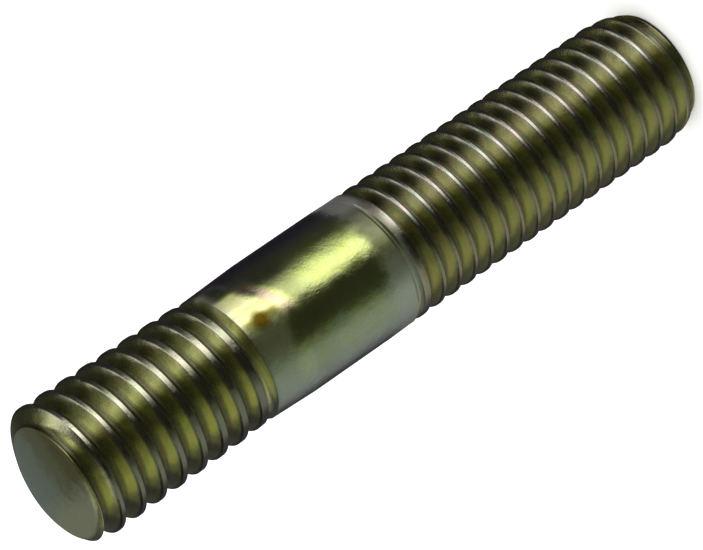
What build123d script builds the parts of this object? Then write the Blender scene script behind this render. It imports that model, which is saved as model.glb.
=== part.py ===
from build123d import *
import os
from math import atan, cos, degrees, radians, sin, tan

# Double ended stud, 5/16 in, made from one bar: a coarse thread on the metal
# end, a plain body, and a finer thread on the nut end.
# Frame: the axis is Z. The nut end stands on Z = 0 and the metal end is up.

# --- driving dimensions, mm --------------------------------------------------
nominal_d = 7.9375          # 5/16 in, diameter of the plain body
overall_len = 43.40         # end face to end face
metal_len = 14.44           # metal end: thread with its run-out, near 9/16 in
nut_len = 21.43             # nut end: thread with its run-out, 27/32 in

metal_tpi = 18              # threads per inch
nut_tpi = 22
half_angle = radians(27.5)  # Whitworth form, 55 degrees in all
depth_share = 0.6403        # depth of thread / pitch
root_share = 0.1373         # root radius / pitch

metal_tip_r = 4.09          # crest radius near the tip, oversize for a tight fit
metal_low_r = 3.92          # crest radius at the last full coarse thread
metal_waist_r = 3.84        # slight waist where the coarse thread begins
metal_ref_r = 4.08          # major radius that the coarse groove is cut from
nut_r = 3.94                # crest radius of the fine thread
metal_face_r = 3.51         # flat end face of the metal end
nut_face_r = 3.30           # flat end face of the nut end
nut_point_len = 2.05        # length of the eased point of the nut end
nut_knee_r = 3.72           # its two cones meet here
nut_knee_z = 0.80
neck_len = 1.20             # slight cone between the body and the nut end

metal_runout_turns = 1.0    # turns in which each groove rises out of the bar
nut_runout_turns = 1.25
metal_start_deg = 31.0      # where the coarse groove meets its end face
nut_start_deg = 121.0       # where the fine groove meets its end face

# --- derived -----------------------------------------------------------------
body_r = nominal_d / 2
metal_pitch = 25.4 / metal_tpi
nut_pitch = 25.4 / nut_tpi
metal_z = overall_len - metal_len       # lower end of the coarse thread
metal_bevel = metal_tip_r - metal_face_r  # 45 degree bevel


def thread_groove(pitch, low_z, high_z, major_r, cut_r, run_at_top, run_turns, start_deg):
    """One right-hand Whitworth groove between two heights, and its run-out.

    The groove passes start_deg at the end of the thread away from the run-out.
    """
    pitch_r = major_r - depth_share * pitch / 2
    root_r = pitch_r - depth_share * pitch / 2
    arc_r = root_share * pitch
    knee_x = root_r + arc_r * (1 - sin(half_angle))
    knee_y = arc_r * cos(half_angle)
    wide = pitch / 4 + (cut_r - pitch_r) * tan(half_angle)
    run_h = run_turns * pitch
    run_rise = major_r + 0.12 - root_r

    turns = (high_z - low_z) / pitch
    with BuildPart() as main_groove:
        with BuildLine() as main_path:
            Helix(pitch, high_z - low_z, root_r, center=(0, 0, low_z))
        with BuildSketch(Plane((0, 0, low_z), x_dir=(1, 0, 0), z_dir=(0, -1, 0))):
            with BuildLine():
                Polyline((knee_x, -knee_y), (cut_r, -wide), (cut_r, wide), (knee_x, knee_y))
                ThreePointArc((knee_x, knee_y), (root_r, 0), (knee_x, -knee_y))
            make_face()
        sweep(path=main_path.line, is_frenet=True)

    slope = degrees(atan(run_rise / run_h))
    run_pitch = pitch / cos(radians(slope))     # measured along the cone
    if run_at_top:
        run_z, run_r, run_cone = high_z, root_r, slope
    else:
        run_z, run_r, run_cone = low_z - run_h, root_r + run_rise, -slope
    with BuildPart() as run_groove:
        with BuildLine() as run_path:
            Helix(run_pitch, run_h, run_r, center=(0, 0, run_z), cone_angle=run_cone)
        lift = run_r - root_r
        with BuildSketch(Plane((0, 0, run_z), x_dir=(1, 0, 0), z_dir=(0, -1, 0))):
            with BuildLine():
                Polyline((knee_x + lift, -knee_y), (cut_r + lift, -wide), (cut_r + lift, wide), (knee_x + lift, knee_y))
                ThreePointArc((knee_x + lift, knee_y), (root_r + lift, 0), (knee_x + lift, -knee_y))
            make_face()
        sweep(path=run_path.line, is_frenet=True)

    if run_at_top:
        main = main_groove.part.rotate(Axis.Z, start_deg)
        run = run_groove.part.rotate(Axis.Z, start_deg + 360 * turns)
    else:
        first = start_deg - 360 * turns
        main = main_groove.part.rotate(Axis.Z, first)
        run = run_groove.part.rotate(Axis.Z, first - 360 * run_turns)
    return main, run


metal_groove, metal_run = thread_groove(
    metal_pitch, metal_z + 2.8, overall_len + metal_pitch, metal_ref_r, 4.17,
    False, metal_runout_turns, metal_start_deg)
nut_groove, nut_run = thread_groove(
    nut_pitch, -nut_pitch, nut_len - 1.18, nut_r, 4.02,
    True, nut_runout_turns, nut_start_deg)

with BuildPart() as stud:
    # the bar, turned to its outline
    with BuildSketch(Plane.XZ):
        with BuildLine():
            Polyline(
                (0, 0),
                (nut_r, 0),
                (nut_r, nut_len),
                (body_r, nut_len + neck_len),
                (body_r, metal_z + 0.2),
                (metal_low_r, metal_z + 2.6),
                (metal_tip_r, overall_len - metal_bevel),
                (metal_face_r, overall_len),
                (0, overall_len),
                close=True,
            )
        make_face()
    revolve(axis=Axis.Z)
    # the two threads
    for cutter in (metal_groove, metal_run, nut_groove, nut_run):
        add(cutter, mode=Mode.SUBTRACT)
    # the slight waist where the coarse thread begins
    with BuildSketch(Plane.XZ):
        with BuildLine():
            Polyline(
                (body_r + 0.02, metal_z - 1.4),
                (metal_waist_r, metal_z + 2.5),
                (metal_waist_r + 0.14, metal_z + 5.0),
                (metal_waist_r + 0.6, metal_z + 5.0),
                (metal_waist_r + 0.6, metal_z - 1.4),
                close=True,
            )
        make_face()
    revolve(axis=Axis.Z, mode=Mode.SUBTRACT)
    # the eased point of the nut end
    with BuildSketch(Plane.XZ):
        with BuildLine():
            Polyline(
                (nut_face_r, 0),
                (nut_knee_r, nut_knee_z),
                (nut_r + 0.02, nut_point_len + 0.13),
                (nut_r + 0.4, nut_point_len + 0.13),
                (nut_r + 0.4, -0.5),
                (nut_face_r, -0.5),
                close=True,
            )
        make_face()
    revolve(axis=Axis.Z, mode=Mode.SUBTRACT)

stud.part.label = "stud"

os.makedirs("parts", exist_ok=True)
export_step(stud.part, "parts/stud.step")
print("solids", len(stud.part.solids()), "valid", stud.part.is_valid,
      "volume mm3", round(stud.part.volume, 1), "faces", len(stud.part.faces()))
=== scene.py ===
import bpy
import math
import numpy as np
from mathutils import Matrix, Vector


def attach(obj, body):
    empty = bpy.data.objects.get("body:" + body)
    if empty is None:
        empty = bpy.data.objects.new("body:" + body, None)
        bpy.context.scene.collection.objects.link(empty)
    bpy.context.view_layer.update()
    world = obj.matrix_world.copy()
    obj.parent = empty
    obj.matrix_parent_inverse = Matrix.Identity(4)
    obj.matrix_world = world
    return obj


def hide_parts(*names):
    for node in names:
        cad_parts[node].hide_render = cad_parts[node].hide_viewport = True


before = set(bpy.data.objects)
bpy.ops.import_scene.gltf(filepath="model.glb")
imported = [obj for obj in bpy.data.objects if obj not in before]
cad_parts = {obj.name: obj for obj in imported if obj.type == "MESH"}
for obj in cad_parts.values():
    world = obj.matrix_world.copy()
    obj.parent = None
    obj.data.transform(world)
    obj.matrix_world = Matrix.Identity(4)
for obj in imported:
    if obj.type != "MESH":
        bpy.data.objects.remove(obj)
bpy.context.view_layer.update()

# ----------------------------------------------------------------------------
# the stud, in millimetres, on the CAD part's dimensions
# ----------------------------------------------------------------------------
BODY_R = 7.9375 / 2
LENGTH = 43.40
METAL_Z = LENGTH - 14.44
NUT_LEN = 21.43
METAL_P = 25.4 / 18
NUT_P = 25.4 / 22
HALF = math.radians(27.5)
METAL_START = math.radians(31.0)
NUT_START = math.radians(121.0)
AROUND = 124
CREST_EASE = 0.045
METAL_REF = 4.08


def fillet(points, radii, steps=6):
    """A polyline with its inner corners rounded."""
    out = [points[0]]
    for i in range(1, len(points) - 1):
        p, r = np.array(points[i], float), radii[i]
        if r <= 0:
            out.append(tuple(p))
            continue
        a = np.array(points[i - 1], float) - p
        b = np.array(points[i + 1], float) - p
        la, lb = np.linalg.norm(a), np.linalg.norm(b)
        a, b = a / la, b / lb
        turn = math.acos(max(-1.0, min(1.0, float(-a @ b))))
        cut = min(r * math.tan(turn / 2), la * 0.49, lb * 0.49)
        for k in range(steps + 1):
            t = k / steps
            q = (1 - t) ** 2 * (p + a * cut) + 2 * t * (1 - t) * p + t**2 * (p + b * cut)
            out.append(tuple(q))
    out.append(points[-1])
    return out


OUTLINE = fillet(
    [
        (3.30, 0), (3.72, 0.80), (3.94, 2.05), (3.94, NUT_LEN),
        (BODY_R, NUT_LEN + 1.20), (BODY_R, METAL_Z - 0.88), (3.84, METAL_Z + 2.5),
        (3.948, METAL_Z + 4.42), (4.09, LENGTH - 0.58), (3.51, LENGTH),
    ],
    [0, 1.2, 2.0, 6, 6, 6, 3, 3, 0.25, 0],
)
OUT_R = np.array([p[0] for p in OUTLINE])
OUT_Z = np.array([p[1] for p in OUTLINE])


def outline(z):
    return np.interp(z, OUT_Z, OUT_R)


class Thread:
    """One right-hand Whitworth groove; side is +1 if it rises out of the bar below, -1 if above."""

    def __init__(self, pitch, major, start, end_z, run_z, run_turns, side):
        self.pitch, self.start, self.end_z, self.run_z, self.side = pitch, start, end_z, run_z, side
        self.run_h = run_turns * pitch
        self.depth = 0.6403 * pitch
        self.root = major - self.depth
        self.arc = 0.1373 * pitch
        self.tx = self.arc * math.cos(HALF)
        self.tr = self.root + self.arc * (1 - math.sin(HALF))

    def lift(self, z):
        past = (self.run_z - z) * self.side / self.run_h
        return np.clip(past, 0.0, 3.0) * (self.depth + 0.12)

    def radius(self, z, phi):
        turn = (z - self.end_z) / self.pitch - (phi - self.start) / (2 * math.pi)
        ax = np.abs((turn - np.round(turn)) * self.pitch)
        arc = self.root + self.arc - np.sqrt(np.maximum(self.arc**2 - np.minimum(ax, self.tx) ** 2, 0.0))
        r = np.where(ax <= self.tx, arc, self.tr + (ax - self.tx) / math.tan(HALF))
        return r + self.lift(z)

    def rows(self, phi, low, high):
        """Heights of the profile's own points at the angle phi."""
        first = self.end_z + self.pitch * (phi - self.start) / (2 * math.pi)
        out = []
        k0 = int(math.floor((low - first) / self.pitch)) - 1
        k1 = int(math.ceil((high - first) / self.pitch)) + 1
        for k in range(k0, k1 + 1):
            c = first + k * self.pitch
            marks = [0.0]
            for sign in (-1, 1):
                edge = self.tx
                for _ in range(4):
                    z = c + sign * edge
                    edge = self.tx + (outline(z) - self.tr - self.lift(z)) * math.tan(HALF)
                    edge = min(max(edge, 0.0), self.pitch * 0.499)
                if edge <= self.tx * 1.2:
                    marks += [sign * q * self.pitch for q in (0.06, 0.13, 0.22, 0.35)]
                    continue
                e = CREST_EASE * math.tan(HALF)
                f0, f1 = self.tx, edge - e
                marks += [sign * self.tx * q for q in (0.5, 0.85, 1.15)]
                if f1 - f0 > 0.08:
                    marks += [sign * (f0 + (f1 - f0) * q) for q in (0.3, 0.88)]
                marks += [sign * (edge + e * q) for q in (-1.0, -0.5, 0.0, 0.5, 1.0)]
                marks += [sign * min(edge + e * 1.6, self.pitch * 0.49)]
            marks.append(self.pitch * 0.5)
            out += [c + m for m in marks]
        return [z for z in out if low <= z <= high]


METAL = Thread(METAL_P, METAL_REF, METAL_START, LENGTH, METAL_Z + 2.8, 1.0, 1)
NUT = Thread(NUT_P, 3.94, NUT_START, 0.0, NUT_LEN - 1.18, 1.25, -1)


def soft_min(a, b, k):
    h = np.clip(0.5 + 0.5 * (b - a) / k, 0.0, 1.0)
    return b + (a - b) * h - k * h * (1 - h)


def side_radius(z, phi):
    r = outline(z)
    upper = z > (NUT_LEN + METAL_Z) / 2
    limit = np.where(upper, METAL.radius(z, phi), NUT.radius(z, phi))
    return soft_min(limit, r, CREST_EASE)


EDGE = [0.0, 0.012, 0.03, 0.055, 0.09, 0.14]
FIXED = sorted(
    EDGE + [LENGTH - e for e in EDGE]
    + [z for z in OUT_Z if 0.1 < z < LENGTH - 0.1]
    + list(np.arange(NUT_LEN + 0.3, METAL_Z + 0.6, 0.25)) + [0.3, 0.5, LENGTH - 0.22, LENGTH - 0.3]
)


def column(phi):
    """One meridian: (order, radius, height) from the centre of one end to the centre of the other."""
    zs = sorted(
        FIXED
        + NUT.rows(phi, 0.16, NUT_LEN + 0.9)
        + METAL.rows(phi, METAL_Z - 0.4, LENGTH - 0.16)
    )
    keep = [zs[0]]
    for z in zs[1:]:
        if z - keep[-1] > 0.011:
            keep.append(z)
    keep[-1] = LENGTH
    z = np.array(keep)
    r = side_radius(z, phi)
    # ease the sharp rims of the two end faces
    for end, sign in ((0.0, 1), (LENGTH, -1)):
        d = (z - end) * sign
        near = d < 0.14
        r = np.where(near, r - 0.07 * (1 - d / 0.14) ** 2.2, r)
    inner = [0.0, 0.25, 0.5, 0.7, 0.85, 0.94, 0.985]
    pts = [(-1 + f, f * r[0], 0.0) for f in inner[1:]]
    pts += [(float(a), float(b), float(a)) for a, b in zip(z, r)]
    pts += [(LENGTH + 1 - f, f * r[-1], LENGTH) for f in reversed(inner[1:])]
    return pts


def stud_mesh():
    columns = [column(2 * math.pi * j / AROUND) for j in range(AROUND)]
    verts, index = [(0, 0, 0), (0, 0, LENGTH / 1000)], []
    for j, pts in enumerate(columns):
        a = 2 * math.pi * j / AROUND
        ids = []
        for _, r, z in pts:
            ids.append(len(verts))
            verts.append((r * math.cos(a) / 1000, r * math.sin(a) / 1000, z / 1000))
        index.append(ids)
    faces = []
    for j in range(AROUND):
        k = (j + 1) % AROUND
        A, B = columns[j], columns[k]
        ia, ib = index[j], index[k]
        p = q = 0
        faces.append((0, ib[0], ia[0]))
        while p < len(A) - 1 or q < len(B) - 1:
            if p == len(A) - 1:
                step_a = False
            elif q == len(B) - 1:
                step_a = True
            else:
                # the shorter of the two diagonals, measured along the meridian
                step_a = abs(A[p + 1][0] - B[q][0]) <= abs(B[q + 1][0] - A[p][0])
            if step_a:
                faces.append((ia[p], ib[q], ia[p + 1]))
                p += 1
            else:
                faces.append((ia[p], ib[q], ib[q + 1]))
                q += 1
        faces.append((1, ia[-1], ib[-1]))
    mesh = bpy.data.meshes.new("stud_surface")
    mesh.from_pydata(verts, [], faces)
    mesh.polygons.foreach_set("use_smooth", [True] * len(mesh.polygons))
    mesh.update()
    return mesh


stud = bpy.data.objects.new("threaded_stud", stud_mesh())
bpy.context.scene.collection.objects.link(stud)
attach(stud, "root")
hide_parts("stud")
print("triangles", sum(len(p.vertices) - 2 for p in stud.data.polygons))

# ----------------------------------------------------------------------------
# node helpers
# ----------------------------------------------------------------------------
class Nodes:
    def __init__(self, tree):
        self.t = tree
        self.t.nodes.clear()

    def add(self, kind, **values):
        n = self.t.nodes.new(kind)
        for k, v in values.items():
            setattr(n, k, v)
        return n

    def put(self, socket, value):
        if hasattr(value, "is_output"):
            self.t.links.new(value, socket)
        elif isinstance(value, tuple):
            socket.default_value = (*value, 1) if len(socket.default_value) == 4 and len(value) == 3 else value
        else:
            socket.default_value = value

    def math(self, op, *args, clamp=False):
        n = self.add("ShaderNodeMath", operation=op, use_clamp=clamp)
        for i, v in enumerate(args):
            self.put(n.inputs[i], v)
        return n.outputs[0]

    def ramp(self, fac, stops, interp="EASE"):
        n = self.add("ShaderNodeValToRGB")
        cr = n.color_ramp
        cr.interpolation = interp
        while len(cr.elements) < len(stops):
            cr.elements.new(0.5)
        for e, (p, c) in zip(cr.elements, sorted(stops)):
            e.position = p
            e.color = (*c, 1) if isinstance(c, tuple) else (c, c, c, 1)
        self.put(n.inputs[0], fac)
        return n.outputs[0]

    def mix(self, fac, a, b, blend="MIX"):
        n = self.add("ShaderNodeMix", data_type="RGBA", blend_type=blend)
        for i, v in ((0, fac), (6, a), (7, b)):
            self.put(n.inputs[i], v)
        return n.outputs[2]

    def between(self, v, lo, hi):
        """0 below lo, 1 above hi, smooth between them."""
        n = self.add("ShaderNodeMapRange", interpolation_type="SMOOTHSTEP")
        self.put(n.inputs[0], v)
        n.inputs[1].default_value, n.inputs[2].default_value = lo, hi
        n.inputs[3].default_value, n.inputs[4].default_value = 0.0, 1.0
        return n.outputs[0]

    def noise(self, vector, scale, detail=2.0, rough=0.5, distort=0.0):
        n = self.add("ShaderNodeTexNoise")
        self.put(n.inputs["Vector"], vector)
        n.inputs["Scale"].default_value = scale
        n.inputs["Detail"].default_value = detail
        n.inputs["Roughness"].default_value = rough
        n.inputs["Distortion"].default_value = distort
        return n.outputs["Fac"]

    def vec(self, x, y, z):
        n = self.add("ShaderNodeCombineXYZ")
        for i, v in enumerate((x, y, z)):
            self.put(n.inputs[i], v)
        return n.outputs[0]

    def bump(self, height, strength, distance, normal=None):
        n = self.add("ShaderNodeBump")
        n.inputs["Strength"].default_value = strength
        n.inputs["Distance"].default_value = distance
        self.put(n.inputs["Height"], height)
        if normal is not None:
            self.put(n.inputs["Normal"], normal)
        return n.outputs[0]


def deg(v):
    return v / 360 + 0.5


# ----------------------------------------------------------------------------
# material: yellow zinc passivate, an iridescent film on steel, with highlights and shade painted into its colour round
# the bar
# ----------------------------------------------------------------------------
mat = bpy.data.materials.new("zinc_plated_steel")
mat.use_nodes = True
N = Nodes(mat.node_tree)
tc = N.add("ShaderNodeTexCoord")
mm = N.add("ShaderNodeVectorMath", operation="SCALE")
N.put(mm.inputs[0], tc.outputs["Object"])
mm.inputs[3].default_value = 1000.0
P = mm.outputs[0]
xyz = N.add("ShaderNodeSeparateXYZ")
N.put(xyz.inputs[0], P)
X, Y, Z = xyz.outputs
radius = N.math("SQRT", N.math("ADD", N.math("MULTIPLY", X, X), N.math("MULTIPLY", Y, Y)))
angle = N.math("ARCTAN2", X, N.math("MULTIPLY", Y, -1.0))
turn = N.math("MULTIPLY_ADD", angle, 1 / (2 * math.pi), 0.5)

coarse = N.between(Z, METAL_Z + 1.9, METAL_Z + 2.7)
fine = N.math("SUBTRACT", 1.0, N.between(Z, NUT_LEN - 0.35, NUT_LEN + 0.05))
thread = N.math("MAXIMUM", coarse, fine)
face = N.between(Z, LENGTH - 0.12, LENGTH - 0.02)

cloud = N.noise(P, 0.55, 3.0, 0.55, 0.4)
cloud2 = N.noise(N.vec(X, Y, N.math("MULTIPLY_ADD", Z, 0.6, 31.0)), 1.6, 3.0, 0.6, 0.6)
grain = N.noise(P, 7.0, 4.0, 0.65)
speck = N.noise(P, 24.0, 2.0, 0.5)

# plain body: the film's colour goes round it in broad soft bands; the same ramp paints a highlight (brighter lime on
# the side that faces the key light) and painted shade (darker purple-grey further round)
body_turn = N.math("ADD", turn, N.math("MULTIPLY_ADD", cloud, 0.05, -0.025))
body = N.ramp(body_turn, [
    (deg(-179), (0.62, 0.60, 0.33)), (deg(-120), (0.58, 0.62, 0.42)), (deg(-62), (0.56, 0.64, 0.50)),
    (deg(-34), (0.56, 0.70, 0.42)), (deg(-18), (0.60, 0.74, 0.26)), (deg(-4), (0.62, 0.70, 0.24)),
    (deg(8), (0.76, 0.84, 0.32)), (deg(26), (0.74, 0.85, 0.30)), (deg(40), (0.56, 0.66, 0.25)),
    (deg(53), (0.50, 0.52, 0.42)), (deg(64), (0.42, 0.38, 0.46)), (deg(110), (0.60, 0.52, 0.46)),
    (deg(150), (0.70, 0.62, 0.34)),
], "EASE")
# cooler and greener clouds in the film
body = N.mix(N.math("MULTIPLY", N.between(cloud2, 0.50, 0.66), 0.45), body, (0.55, 0.66, 0.62), "SOFT_LIGHT")
body = N.mix(N.math("MULTIPLY", N.between(cloud2, 0.50, 0.34), 0.40), body, (0.58, 0.56, 0.20), "SOFT_LIGHT")

# where the last coarse turn fades into the body: a light yellow patch that is a painted highlight, with painted shade
# either side of it, a rosy edge that slants round the bar, and painted shade that dims the body's highlight beyond it
edge_z = N.math("MULTIPLY_ADD", N.ramp(turn, [
    (deg(-60), 0.55), (deg(-25), 0.55), (deg(-10), 0.42), (deg(9), 0.29), (deg(21), 0.465), (deg(42), 0.82),
    (deg(60), 0.90),
], "LINEAR"), 2.0, METAL_Z - 0.96)
past = N.math("SUBTRACT", N.math("MULTIPLY_ADD", cloud2, 0.3, Z), N.math("ADD", edge_z, 0.15))
fade = N.math("MULTIPLY", N.between(past, -0.05, 0.75), N.math("SUBTRACT", 1.0, N.between(Z, METAL_Z + 2.4, METAL_Z + 2.9)))
front = N.ramp(turn, [(deg(-75), 0.0), (deg(-45), 1.0), (deg(62), 1.0), (deg(80), 0.0)], "EASE")
# patch tone round the bar: the full-bright yellow where it faces the key is a painted highlight, the dark tones either
# side are painted shade, the greener tones lower down are film colour
patch_tone = N.ramp(turn, [
    (deg(-60), (0.48, 0.56, 0.46)), (deg(-30), (0.43, 0.54, 0.35)), (deg(-14), (0.66, 0.74, 0.36)),
    (deg(-3), (0.60, 0.66, 0.31)), (deg(3), (0.40, 0.45, 0.20)), (deg(13), (0.24, 0.23, 0.05)), (deg(18), (1.0, 1.0, 0.44)), (deg(34), (1.0, 1.0, 0.52)),
    (deg(43), (1.0, 1.0, 0.46)), (deg(50), (0.12, 0.14, 0.07)), (deg(60), (0.08, 0.09, 0.06)),
], "EASE")
body = N.mix(N.math("MULTIPLY", fade, front), body, patch_tone)
rosy = N.math("MULTIPLY", N.between(past, -0.62, -0.20), N.math("SUBTRACT", 1.0, N.between(past, 0.10, 0.45)))
rosy = N.math("MULTIPLY", rosy, N.ramp(turn, [(deg(0), 0.0), (deg(9), 0.8), (deg(20), 1.0), (deg(40), 0.9), (deg(54), 0.0)], "EASE"))
body = N.mix(N.math("MULTIPLY", rosy, 0.92), body, (1.0, 0.77, 0.56))
# painted shade: a darker olive laid over the body's highlight beyond the patch, strongest on the side that faces the
# key
painted_dimming = N.math("MULTIPLY", N.between(Z, METAL_Z - 2.7, METAL_Z - 1.2), N.math("SUBTRACT", 1.0, N.between(past, -0.85, -0.45)))
painted_dimming = N.math("MULTIPLY", painted_dimming, N.ramp(turn, [(deg(0), 0.2), (deg(12), 0.6), (deg(26), 0.65), (deg(38), 1.0), (deg(50), 0.5), (deg(60), 0.0)], "EASE"))
body = N.mix(N.math("MULTIPLY", painted_dimming, 0.95), body, (0.30, 0.32, 0.17))
# one brown mark beside the patch
mark = N.math("SQRT", N.math("ADD",
    N.math("POWER", N.math("MULTIPLY", N.math("SUBTRACT", angle, math.radians(11)), 3.6), 2.0),
    N.math("POWER", N.math("SUBTRACT", Z, METAL_Z + 1.25), 2.0)))
mark = N.math("SUBTRACT", 1.0, N.between(N.math("MULTIPLY_ADD", cloud2, 0.2, mark), 0.34, 0.85))
body = N.mix(mark, body, (0.12, 0.075, 0.005))

# threads: olive gold, lighter on the crests where the film is worn; on top of that a painted highlight on the side
# turned to the key light, and painted shade round the rest of the bar
flank = N.ramp(cloud2, [
    (0.25, (0.73, 0.82, 0.32)), (0.45, (0.84, 0.89, 0.36)), (0.60, (0.93, 0.88, 0.41)), (0.78, (0.81, 0.87, 0.49)),
], "EASE")
# painted highlight: the flanks lighter and greyer on the side that faces the key light
painted_glint = N.ramp(turn, [
    (deg(-180), 0.3), (deg(-40), 0.2), (deg(4), 0.0), (deg(22), 1.0), (deg(34), 1.0), (deg(46), 0.45), (deg(56), 0.0), (deg(150), 0.3),
], "EASE")
# painted shade round the bar: the thread colour darkened on the sides turned from the light
shade_coarse = N.ramp(turn, [
    (deg(-140), 0.85), (deg(-92), 0.45), (deg(-70), 0.34), (deg(-58), 0.85), (deg(-48), (0.98, 1.0, 1.0)), (deg(-20), (0.98, 1.0, 1.0)), (deg(-8), 0.56), (deg(8), 0.38),
    (deg(22), 0.76), (deg(43), 0.90), (deg(52), 0.50), (deg(58), 0.36), (deg(66), 0.50), (deg(88), 0.45), (deg(135), 0.85),
], "EASE")
shade_fine = N.ramp(turn, [
    (deg(-140), 0.85), (deg(-92), 0.60), (deg(-62), 0.85), (deg(-50), (0.88, 0.88, 1.0)), (deg(-20), (0.82, 0.82, 0.96)), (deg(-8), 0.50), (deg(8), 0.38),
    (deg(25), 0.66), (deg(34), 0.72), (deg(41), 0.38), (deg(49), 0.20), (deg(57), 0.38), (deg(66), 0.70), (deg(88), 0.45), (deg(135), 0.85),
], "EASE")
flank = N.mix(1.0, flank, N.mix(fine, shade_coarse, shade_fine), "MULTIPLY")
flank = N.mix(N.math("MULTIPLY", painted_glint, N.math("MULTIPLY_ADD", fine, -0.15, 0.65)), flank, N.mix(fine, (0.84, 0.86, 0.60), (0.74, 0.70, 0.60)))
shift = N.noise(N.vec(X, Y, N.math("MULTIPLY_ADD", Z, 1.0, 7.0)), 1.3, 2.0, 0.5)
crest_coarse = N.ramp(shift, [
    (0.30, (0.76, 0.84, 0.58)), (0.45, (0.86, 0.88, 0.62)), (0.58, (0.90, 0.84, 0.66)), (0.72, (0.90, 0.88, 0.62)),
], "EASE")
crest_fine = N.ramp(shift, [
    (0.30, (0.66, 0.76, 0.60)), (0.45, (0.78, 0.80, 0.66)), (0.56, (0.84, 0.72, 0.64)), (0.72, (0.80, 0.78, 0.62)),
], "EASE")
cone = N.math("MULTIPLY", coarse, N.math("MINIMUM",
    N.math("MULTIPLY_ADD", Z, 0.0152, -0.531), N.math("MULTIPLY_ADD", Z, 0.056, -1.893)))
crest = N.between(N.math("SUBTRACT", N.math("MULTIPLY_ADD", cloud2, 0.10, radius), cone), 3.82, 3.95)
# painted shade on the crests round the bar, full tone only where they face the key; the second ramp adds a bluish tint
# and painted shade to the lower coarse crests
below = N.ramp(turn, [
    (deg(-140), 0.85), (deg(-95), 0.38), (deg(-72), 0.22), (deg(-64), (0.26, 0.26, 0.19)), (deg(-50), (0.66, 0.68, 0.48)), (deg(-20), (0.70, 0.72, 0.48)), (deg(-12), (0.44, 0.44, 0.36)), (deg(8), 0.45),
    (deg(22), 0.95), (deg(30), 1.0), (deg(42), 0.9), (deg(54), 0.50), (deg(66), 0.75), (deg(90), 0.5), (deg(135), 0.85),
], "EASE")
under = N.ramp(turn, [(deg(-80), 1.0), (deg(-60), 0.45), (deg(-48), (0.62, 0.66, 0.88)), (deg(-20), (0.66, 0.70, 0.95)), (deg(-8), 1.0)], "EASE")
crest_coarse = N.mix(1.0, crest_coarse, under, "MULTIPLY")
crest_tone = N.mix(1.0, N.mix(fine, crest_coarse, crest_fine), below, "MULTIPLY")
threads = N.mix(crest, flank, crest_tone)
colour = N.mix(thread, body, threads)
# the cone beside the fine thread carries a greyer ring; round the bar its tone is painted shade where it faces the key
# light and a painted highlight further round
drift = N.math("MULTIPLY_ADD", N.math("ADD", cloud2, cloud), 1.1, N.math("SUBTRACT", Z, 1.1))
ring = N.math("MULTIPLY", N.between(Z, NUT_LEN - 0.9, NUT_LEN - 0.3), N.math("SUBTRACT", 1.0, N.between(drift, NUT_LEN + 0.70, NUT_LEN + 1.75)))
ring_tone = N.ramp(turn, [
    (deg(-175), (0.46, 0.47, 0.37)), (deg(-80), (0.48, 0.52, 0.43)), (deg(-30), (0.58, 0.67, 0.54)), (deg(-12), (0.50, 0.55, 0.40)), (deg(4), (0.23, 0.25, 0.13)),
    (deg(24), (0.22, 0.23, 0.15)), (deg(40), (0.42, 0.40, 0.31)), (deg(54), (1.0, 1.0, 0.96)), (deg(90), (0.80, 0.74, 0.68)),
    (deg(150), (0.48, 0.47, 0.38)), (deg(175), (0.46, 0.47, 0.37)),
], "EASE")
colour = N.mix(N.math("MULTIPLY", ring, 0.9), colour, ring_tone)
end_x = N.math("MULTIPLY_ADD", X, -0.14, 0.5)
end = N.ramp(N.math("MULTIPLY_ADD", Y, 0.14, N.math("MULTIPLY_ADD", cloud2, 0.3, 0.35)), [
    (0.10, (0.26, 0.25, 0.09)), (0.36, (0.35, 0.37, 0.19)), (0.62, (0.47, 0.56, 0.40)), (0.90, (0.52, 0.64, 0.50)),
], "EASE")
end = N.mix(N.between(N.math("MULTIPLY_ADD", cloud2, 0.2, end_x), 0.66, 0.90), end, (0.70, 0.74, 0.46))
colour = N.mix(face, colour, end)
# painted shade in the thread roots, and small dark specks
root = N.math("SUBTRACT", 1.0, N.between(N.math("MULTIPLY_ADD", grain, 0.14, radius), 3.22, 3.50))
root = N.math("MULTIPLY", root, N.math("SUBTRACT", 1.0, face))
colour = N.mix(N.math("MULTIPLY", root, 0.85), colour, (0.035, 0.033, 0.018))
spots = N.between(speck, 0.66, 0.76)
colour = N.mix(N.math("MULTIPLY", spots, 0.45), colour, (0.25, 0.22, 0.12))
colour = N.mix(N.math("MULTIPLY_ADD", grain, 0.35, -0.02), colour, (0.42, 0.42, 0.20), "MULTIPLY")

rough = N.math("MULTIPLY_ADD", grain, 0.14, 0.07)
rough = N.math("MULTIPLY_ADD", N.math("MULTIPLY", thread, N.math("SUBTRACT", 1.0, crest)), 0.08, rough)
rough = N.math("MULTIPLY_ADD", N.math("MULTIPLY", fade, front), N.ramp(turn, [
    (deg(-75), 0.11), (deg(8), 0.10), (deg(20), 0.04), (deg(28), 0.06), (deg(38), 0.34), (deg(56), 0.34),
], "EASE"), rough)
rough = N.math("MULTIPLY_ADD", ring, 0.20, rough)
rough = N.math("MULTIPLY_ADD", face, 0.12, rough)
rough = N.math("MULTIPLY_ADD", root, 0.15, rough)

# turning marks round the body, rolled grain on the threads, fine pitting everywhere
rings = N.noise(N.vec(N.math("MULTIPLY", X, 0.12), N.math("MULTIPLY", Y, 0.12), Z), 9.0, 3.0, 0.7)
waves = N.noise(P, 1.1, 1.0, 0.4)
normal = N.bump(waves, 0.5, 0.00006)
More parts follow.
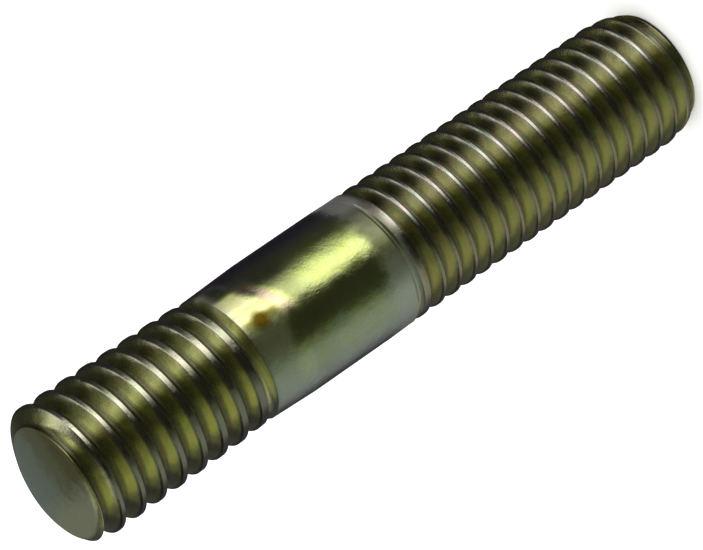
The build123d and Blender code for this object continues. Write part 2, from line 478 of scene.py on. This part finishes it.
# the patch stands a little proud where the last groove lifts the metal
proud = N.math("MULTIPLY", fade, N.ramp(turn, [(deg(26), 0.0), (deg(46), 1.0), (deg(64), 0.0)], "LINEAR"))
normal = N.bump(proud, 1.0, 0.00014, normal)
normal = N.bump(rings, 0.35, 0.00001, normal)
normal = N.bump(grain, 0.5, 0.00002, normal)
normal = N.bump(speck, 0.3, 0.00001, normal)

bsdf = N.add("ShaderNodeBsdfPrincipled")
bsdf.inputs["Metallic"].default_value = 1.0
bsdf.inputs["Specular Tint"].default_value = (0.80, 0.76, 1.0, 1)
N.put(bsdf.inputs["Base Color"], colour)
N.put(bsdf.inputs["Roughness"], rough)
N.put(bsdf.inputs["Normal"], normal)
out = N.add("ShaderNodeOutputMaterial")
N.put(out.inputs["Surface"], bsdf.outputs[0])
stud.data.materials.append(mat)

# ----------------------------------------------------------------------------
# floor, light, camera
# ----------------------------------------------------------------------------
fm = bpy.data.materials.new("floor")
fm.use_nodes = True
fm.node_tree.nodes["Principled BSDF"].inputs["Base Color"].default_value = (0.92, 0.92, 0.92, 1)
fm.node_tree.nodes["Principled BSDF"].inputs["Roughness"].default_value = 0.9
fm.node_tree.nodes["Principled BSDF"].inputs["Emission Color"].default_value = (1.0, 1.0, 1.0, 1)
fm.node_tree.nodes["Principled BSDF"].inputs["Emission Strength"].default_value = 0.12
fmesh = bpy.data.meshes.new("floor")
S = 1.5
fmesh.from_pydata([(-S, -S, 0), (S, -S, 0), (S, S, 0), (-S, S, 0)], [], [(0, 1, 2, 3)])
floor = bpy.data.objects.new("floor", fmesh)
floor.data.materials.append(fm)
bpy.context.scene.collection.objects.link(floor)
floor.visible_glossy = False
floor.visible_shadow = False

# soft studio: one broad key from the right front, a weak fill from the left,
# dark between them, and white for the floor and the background
world = bpy.data.worlds.new("studio")
bpy.context.scene.world = world
world.use_nodes = True
W = Nodes(world.node_tree)
wc = W.add("ShaderNodeTexCoord")
wx = W.add("ShaderNodeSeparateXYZ")
W.put(wx.inputs[0], wc.outputs["Generated"])
around = W.math("ARCTAN2", wx.outputs[0], W.math("MULTIPLY", wx.outputs[1], -1.0))
around = W.math("MULTIPLY_ADD", around, 1 / (2 * math.pi), 0.5)
lift = W.math("MULTIPLY", W.math("ARCSINE", wx.outputs[2]), 180 / math.pi)
low = W.ramp(around, [
    (deg(-180), 0.030), (deg(-152), 0.030), (deg(-138), 0.10), (deg(-120), 0.165), (deg(-84), 0.180), (deg(-66), 0.160),
    (deg(-53), 0.085), (deg(-38), 0.008), (deg(-22), 0.002), (deg(8), 0.002), (deg(14), 0.03), (deg(21), 0.62),
    (deg(30), 0.86), (deg(40), 0.76), (deg(50), 0.58), (deg(60), 0.26), (deg(70), 0.06), (deg(80), 0.016),
    (deg(140), 0.006), (deg(160), 0.010), (deg(179.5), 0.030),
], "EASE")
key_lift = W.ramp(W.math("MULTIPLY_ADD", lift, 1 / 180, 0.5), [
    (0.05, 0.05), (0.22, 0.20), (0.32, 0.85), (0.40, 1.0), (0.62, 1.0), (0.75, 0.5),
], "EASE")
low = W.mix(1.0, low, key_lift, "MULTIPLY")
up = W.ramp(around, [
    (deg(-180), (0.088, 0.096, 0.104)), (deg(-166), (0.088, 0.096, 0.104)), (deg(-154), 0.020), (deg(-120), 0.015), (deg(-60), 0.010),
    (deg(45), 0.010), (deg(62), 0.30), (deg(94), 0.30), (deg(108), 0.010), (deg(156), 0.006), (deg(168), (0.088, 0.096, 0.104)),
    (deg(179.5), (0.088, 0.096, 0.104)),
], "EASE")
high = W.ramp(around, [
    (deg(-180), 0.030), (deg(-160), 0.070), (deg(-146), 0.19), (deg(-118), 0.20), (deg(-98), 0.08), (deg(-60), 0.010),
    (deg(40), 0.010), (deg(58), 0.30), (deg(90), 0.30), (deg(104), 0.14), (deg(116), 0.34), (deg(130), 0.44), (deg(146), 0.40),
    (deg(158), 0.08), (deg(179.5), 0.030),
], "EASE")
env = W.mix(W.between(lift, 18, 34), low, up)
env = W.mix(W.between(lift, 43, 51), env, high)
env = W.mix(W.between(lift, 64, 73), env, (0.004, 0.004, 0.004))
paths = W.add("ShaderNodeLightPath")
env = W.mix(paths.outputs["Is Glossy Ray"], (1.0, 1.0, 1.0), env)
strength = W.math("MULTIPLY_ADD", paths.outputs["Is Glossy Ray"], 0.55, 1.45)
bg = W.add("ShaderNodeBackground")
W.put(bg.inputs[0], env)
W.put(bg.inputs[1], strength)
wo = W.add("ShaderNodeOutputWorld")
W.put(wo.inputs[0], bg.outputs[0])

D = 7.9375e-3
THETA, PSI = math.radians(26.14), math.radians(34.551)
U0, V0, M, Z0 = 364.04, 266.39, 148.656, 34.8
back = Vector((0, -math.cos(THETA), math.sin(THETA)))
r0, u0 = Vector((1, 0, 0)), Vector((0, math.sin(THETA), math.cos(THETA)))
rho = math.atan2(-math.cos(PSI), -math.sin(PSI))
cx = math.cos(rho) * r0 + math.sin(rho) * u0
cy = -math.sin(rho) * r0 + math.cos(rho) * u0
mid = Vector((0, 0, 0.021625))
loc = mid - D * ((U0 - 351.5) / M * cx - (V0 - 275) / M * cy) + D * Z0 * back
cam_data = bpy.data.cameras.new("camera")
cam_data.sensor_width = 36
cam_data.lens = M * Z0 / 703 * 36
cam_data.clip_start, cam_data.clip_end = 0.01, 10
cam = bpy.data.objects.new("camera", cam_data)
cam.matrix_world = Matrix((
    (cx[0], cy[0], back[0], loc[0]),
    (cx[1], cy[1], back[1], loc[1]),
    (cx[2], cy[2], back[2], loc[2]),
    (0, 0, 0, 1)))
bpy.context.scene.collection.objects.link(cam)
bpy.context.scene.camera = cam
bpy.context.scene.view_settings.view_transform = "Standard"
